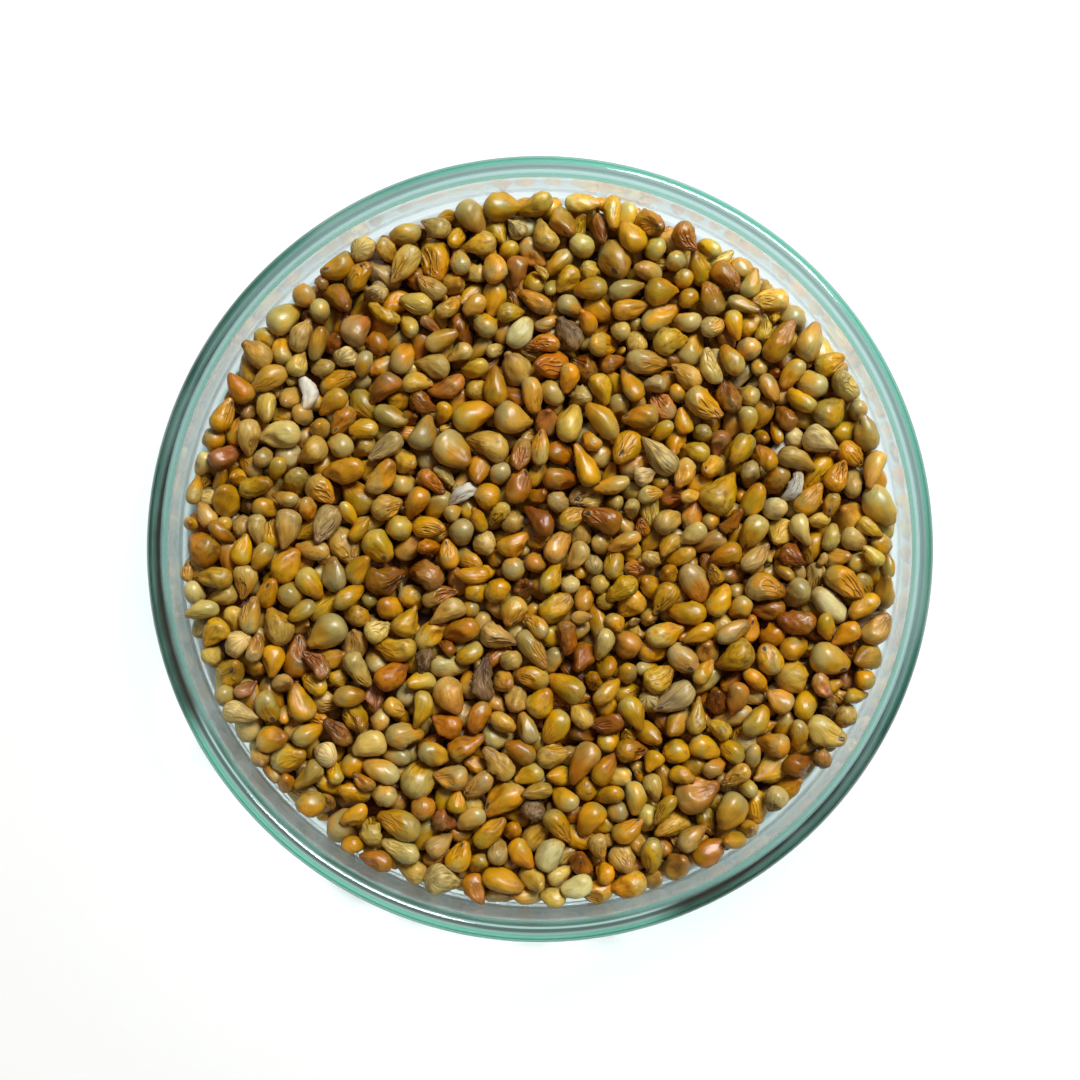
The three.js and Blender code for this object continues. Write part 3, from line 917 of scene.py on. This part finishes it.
    # streaks, pores and the grain's own tone and hue
    bright = timesPlus(tree, tone, *skinLook["tone"])
    bright = timesPlus(tree, centred(streaks), sockets["Streaks"], bright)
    bright = timesPlus(tree, centred(pores), 0.14, bright)
    bright = timesPlus(tree, centred(blotches), 0.6, bright)
    colour = addNode(tree, "ShaderNodeHueSaturation", {
        "Hue": timesPlus(tree, lot(29.7), *skinLook["hue"]),
        "Saturation": timesPlus(tree, lot(41.1), *skinLook["fullness"]),
        "Value": bright, "Color": colour}).outputs[0]
    tree.links.new(colour, result.inputs["Color"])

    rough = timesPlus(tree, germ, 0.1, sockets["Gloss"])
    rough = timesPlus(tree, stained, 0.2, rough)
    rough = timesPlus(tree, pores, 0.1, rough)
    tree.links.new(rough, result.inputs["Roughness"])

    height = times(tree, times(tree, folds, wrinkled), timesPlus(tree, nearGerm, 1.05, 0.15))
    tree.links.new(height, result.inputs["Height"])
    return tree


skinGroup = grainSkin()


def grainMaterial(name, kind):
    material, tree, skin, _ = newMaterial(name + "Skin")
    look = addNode(tree, "ShaderNodeGroup")
    look.node_tree = skinGroup
    for socket in skinColours:
        look.inputs[socket].default_value = srgb(*kind[socket.lower()])
    for socket in skinNumbers:
        look.inputs[socket].default_value = kind[socket.lower()]
    tree.links.new(look.outputs["Color"], skin.inputs["Base Color"])
    tree.links.new(look.outputs["Roughness"], skin.inputs["Roughness"])
    bumpFrom(tree, skin, look.outputs["Height"], 1.0, skinLook["foldDepth"])
    skin.inputs["Specular IOR Level"].default_value = kind["shine"]
    return material


def makeGrains():
    draw = np.random.default_rng(heap["seed"])
    count = heap["grains"]
    mean, spread, least, most = heap["length"]
    length = np.clip(draw.normal(mean, spread, count), least, most)
    mean, spread, least, most = heap["slimness"]
    slimness = np.clip(draw.normal(mean, spread, count), least, most)
    slimness = np.where(length < heap["smallBelow"], np.minimum(slimness + 0.1, most), slimness)
    shares = np.array([kinds[name]["share"] for name in kindNames])
    kindOf = draw.choice(len(kindNames), count, p=shares / shares.sum())
    crumbs = kindOf == kindNames.index("crumb")
    length[crumbs] = draw.uniform(*heap["crumbLength"], int(crumbs.sum()))
    width = length * slimness
    for grain, mark in enumerate(landmarks):
        length[grain], width[grain] = mark[2:4]
        kindOf[grain] = kindNames.index(mark[4])
    grains = settleGrains(draw, length, width)
    place, axis = grains["place"], grains["axis"]
    above, around = grainsSeen(grains)
    near = above >= heap["nearCells"]
    part = (above >= heap["partCells"]) & ~near
    plain = (above + around >= 3) & ~near & ~part
    shown = {"near": near, "part": part, "plain": plain}
    print("heap:", {grade: int(chosen.sum()) for grade, chosen in shown.items()})
    roll = np.where(draw.uniform(0, 1, count) < heap["germUp"],
                    draw.normal(0, 0.7, count), draw.uniform(0, 2 * math.pi, count))
    roll[:len(landmarks)] = 0
    seeds, tones = draw.uniform(0, 1, count), draw.beta(2.2, 2.2, count)
    depth = width * draw.uniform(0.8, 1.03, count)
    pieces = []
    total = 0
    for index, name in enumerate(kindNames):
        kind = kinds[name]
        parts = []
        for gradeName, chosen in shown.items():
            pick = np.nonzero(chosen & (kindOf == index))[0]
            if len(pick) == 0:
                continue
            alongGrain, angle, faces = grainDirections(meshGrades[gradeName])
            size = {"length": length[pick], "width": width[pick], "depth": depth[pick]}
            points, own = grainShapes(draw, kind, size, alongGrain, angle)
            points = keepInDish(turnIntoPlace(points, place[pick], axis[pick], roll[pick]))
            corners = points.shape[1]
            parts.append({
                "points": points.reshape(-1, 3) * mm,
                "own": own.reshape(-1, 3),
                "seed": np.repeat(seeds[pick], corners),
                "tone": np.repeat(tones[pick], corners),
                "faces": (faces[None] + (np.arange(len(pick)) * corners)[:, None, None])
                .reshape(-1, 3),
            })
        offset = np.cumsum([0] + [len(part["points"]) for part in parts])
        piece = meshFromArrays(
            name,
            np.concatenate([part["points"] for part in parts]),
            np.concatenate([part["faces"] + start for part, start in zip(parts, offset)]),
        )
        mesh = piece.data
        own = np.concatenate([part["own"] for part in parts]).astype(np.float32)
        mesh.attributes.new("grainPlace", "FLOAT_VECTOR", "POINT").data.foreach_set(
            "vector", own.ravel())
        for key in ("seed", "tone"):
            values = np.concatenate([part[key] for part in parts]).astype(np.float32)
            mesh.attributes.new("grain" + key.capitalize(), "FLOAT", "POINT").data.foreach_set(
                "value", values)
        mesh.materials.append(grainMaterial(name, kind))
        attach(piece, "root")
        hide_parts("millet")
        total += len(mesh.polygons)
        pieces.append(piece)
        print("grains:", name, len(mesh.polygons), "triangles")
    print("grains:", total, "triangles in all")
    return pieces


# the hidden middle of the heap, standing in for the grains below it, dark as the gaps between grains are:
# painted shade

core = {
    "radius": 41.3 * mm,
    "bottom": 2.7 * mm,
    "top": 4.0 * mm,
    "rounding": 0.6 * mm,
    "around": 180,
    "rings": 40,
    "lumps": 0.25 * mm,
    "lumpTurns": (1900, 1700),
    "darkest": (52, 22, 8),
    "lightest": (84, 44, 14),
}


def coreMaterial():
    material, tree, skin, _ = newMaterial("heapShade")
    place = placeOn(tree)
    spots = noiseAt(tree, place, 420, 3.0)
    # painted shade: dark brown, spotted
    colour = mixColour(tree, mapShare(tree, spots, 0.35, 0.65),
                       srgb(*core["darkest"]), srgb(*core["lightest"]))
    tree.links.new(colour, skin.inputs["Base Color"])
    tree.links.new(mapShare(tree, spots, 0.2, 0.8, 0.6, 0.9), skin.inputs["Roughness"])
    bumpFrom(tree, skin, spots, 0.8, 0.3 * mm)
    return material


def makeCore():
    rounding = core["rounding"]
    edge = core["radius"] - rounding
    flat = np.linspace(0, edge, core["rings"])
    profile = (
        [(x, core["bottom"]) for x in flat[:-1]]
        + arc(edge, core["bottom"] + rounding, rounding, -90, 0, 4)
        + arc(edge, core["top"] - rounding, rounding, 0, 90, 4)
        + [(x, core["top"]) for x in flat[-2::-1]]
    )
    piece = latheMesh("heapCore", profile, core["around"])
    mesh = piece.data
    points = np.empty(len(mesh.vertices) * 3, dtype=np.float32)
    mesh.vertices.foreach_get("co", points)
    points = points.reshape(-1, 3)
    turnsX, turnsY = core["lumpTurns"]
    wave = np.sin(points[:, 0] * turnsX) * np.sin(points[:, 1] * turnsY + 1.1)
    points[:, 2] += core["lumps"] * wave
    mesh.vertices.foreach_set("co", points.ravel())
    mesh.update()
    mesh.materials.append(coreMaterial())
    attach(piece, "root")
    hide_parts("millet")
    print("core: dark middle,", len(mesh.polygons), "faces")
    return piece


# floor, light and camera

studio = {
    "floorSize": 1.6,
    "floorDrop": 0.25 * mm,
    "floorColour": (252, 249, 248),
    "worldColour": (1.0, 0.84, 0.70, 1),
    "worldStrength": 0.15,
    # painted glow: emission rings on the floor stand in for the light that the wall gathers on the table:
    # they fade in and out between these distances in mm, and are brightest this many degrees to both sides
    # of paintedGlowTowards, by this share, and elsewhere by this part of it
    "paintedGlowRings": (
        {"from": (41.5, 42.2), "to": (45.4, 44.9), "spread": (37, 45), "share": 0.26, "around": 0.1},
        {"from": (42.9, 44.1), "to": (45.4, 44.9), "spread": (37, 45), "share": 0.74, "around": 0.1},
        {"from": (44.6, 45.4), "to": (48.6, 47.2), "spread": (80, 155), "share": 0.17, "around": 0.1},
    ),
    "paintedGlowTowards": 248,
    "paintedGlowColour": (0.86, 1.0, 0.95, 1),
    "keyPower": 20.2,
    "keySize": (0.5, 0.36),
    "keyPlace": (0.39, 0.68, 0.94),
    "keyColour": (0.95, 1.0, 1.0),
}
camera = {
    "above": 200 * mm,       # from the rim up to the lens
    "frame": 1080,           # the photograph's side in pixels
    "dishPixels": 393,       # the dish's outer radius there
    "dishLow": 9,            # how far its middle is below the frame's
    "sensor": 36.0,
}


def makeFloor():
    half = studio["floorSize"] / 2
    corners = [(-half, -half, 0), (half, -half, 0), (half, half, 0), (-half, half, 0)]
    points = np.array(corners) + (0, 0, -studio["floorDrop"])
    floor = meshFromArrays("paleFloor", points, [[0, 1, 2], [0, 2, 3]])
    material, tree, paper, _ = newMaterial("palePaperWithPaintedGlow")
    place = placeOn(tree)
    fibres = noiseAt(tree, place, 700, 3.0)
    tint = mixColour(tree, fibres, srgb(*studio["floorColour"]), srgb(252, 252, 253))
    tree.links.new(tint, paper.inputs["Base Color"])
    paper.inputs["Roughness"].default_value = 0.85
    reach = vectorMaths(tree, "LENGTH", place, output="Value")
    heading = math.radians(studio["paintedGlowTowards"])
    facing = vectorMaths(tree, "DOT_PRODUCT", vectorMaths(tree, "NORMALIZE", place),
                         (math.cos(heading), math.sin(heading), 0), "Value")
    # painted glow: emission rings round the dish's foot, brightest towards paintedGlowTowards
    light = 0.0
    for ring in studio["paintedGlowRings"]:
        full, faded = (math.cos(math.radians(angle)) for angle in ring["spread"])
        share = mapShare(tree, facing, faded, full, ring["share"] * ring["around"], ring["share"])
        start, end = (mapShare(tree, reach, near * mm, far * mm)
                      for near, far in (ring["from"], ring["to"]))
        light = timesPlus(tree, times(tree, start, end), share, light)
    paintedGlowEmission = mixColour(tree, light, (0, 0, 0, 1), studio["paintedGlowColour"])
    tree.links.new(paintedGlowEmission, paper.inputs["Emission Color"])
    paper.inputs["Emission Strength"].default_value = 1.0
    floor.data.materials.append(material)
    # the floor is pale, with painted glow rings round the dish's foot
    print("floor: pale and plain,", studio["floorSize"], "m wide")


def makeLight():
    world = bpy.data.worlds.new("studioSky")
    scene.world = world
    world.use_nodes = True
    sky = world.node_tree.nodes["Background"]
    sky.inputs["Color"].default_value = studio["worldColour"]
    sky.inputs["Strength"].default_value = studio["worldStrength"]
    lamp = bpy.data.lights.new("keyLight", "AREA")
    lamp.shape = "RECTANGLE"
    lamp.size, lamp.size_y = studio["keySize"]
    lamp.energy = studio["keyPower"]
    lamp.color = studio["keyColour"]
    key = bpy.data.objects.new("keyLight", lamp)
    key.location = studio["keyPlace"]
    key.rotation_euler = (-Vector(studio["keyPlace"])).to_track_quat("-Z", "Y").to_euler()
    scene.collection.objects.link(key)
    print("light: one soft lamp of", studio["keyPower"], "W and a dim sky")


def makeCamera():
    rimDistance = camera["above"] + dish["rimWidth"] / 2
    halfFrame = dishRadius * camera["frame"] / 2 / camera["dishPixels"]
    lens = bpy.data.cameras.new("camera")
    lens.sensor_width = camera["sensor"]
    lens.lens = camera["sensor"] / 2 * rimDistance / halfFrame
    lens.shift_y = camera["dishLow"] / camera["frame"]
    lens.clip_start = 0.01
    view = bpy.data.objects.new("camera", lens)
    view.location = (0, 0, dishTop + camera["above"])
    scene.collection.objects.link(view)
    scene.camera = view
    print("camera: straight above,", round(lens.lens, 1), "mm lens")


makeCamera()
makeLight()
makeFloor()
makeDish()
makeCore()
makeGrains()
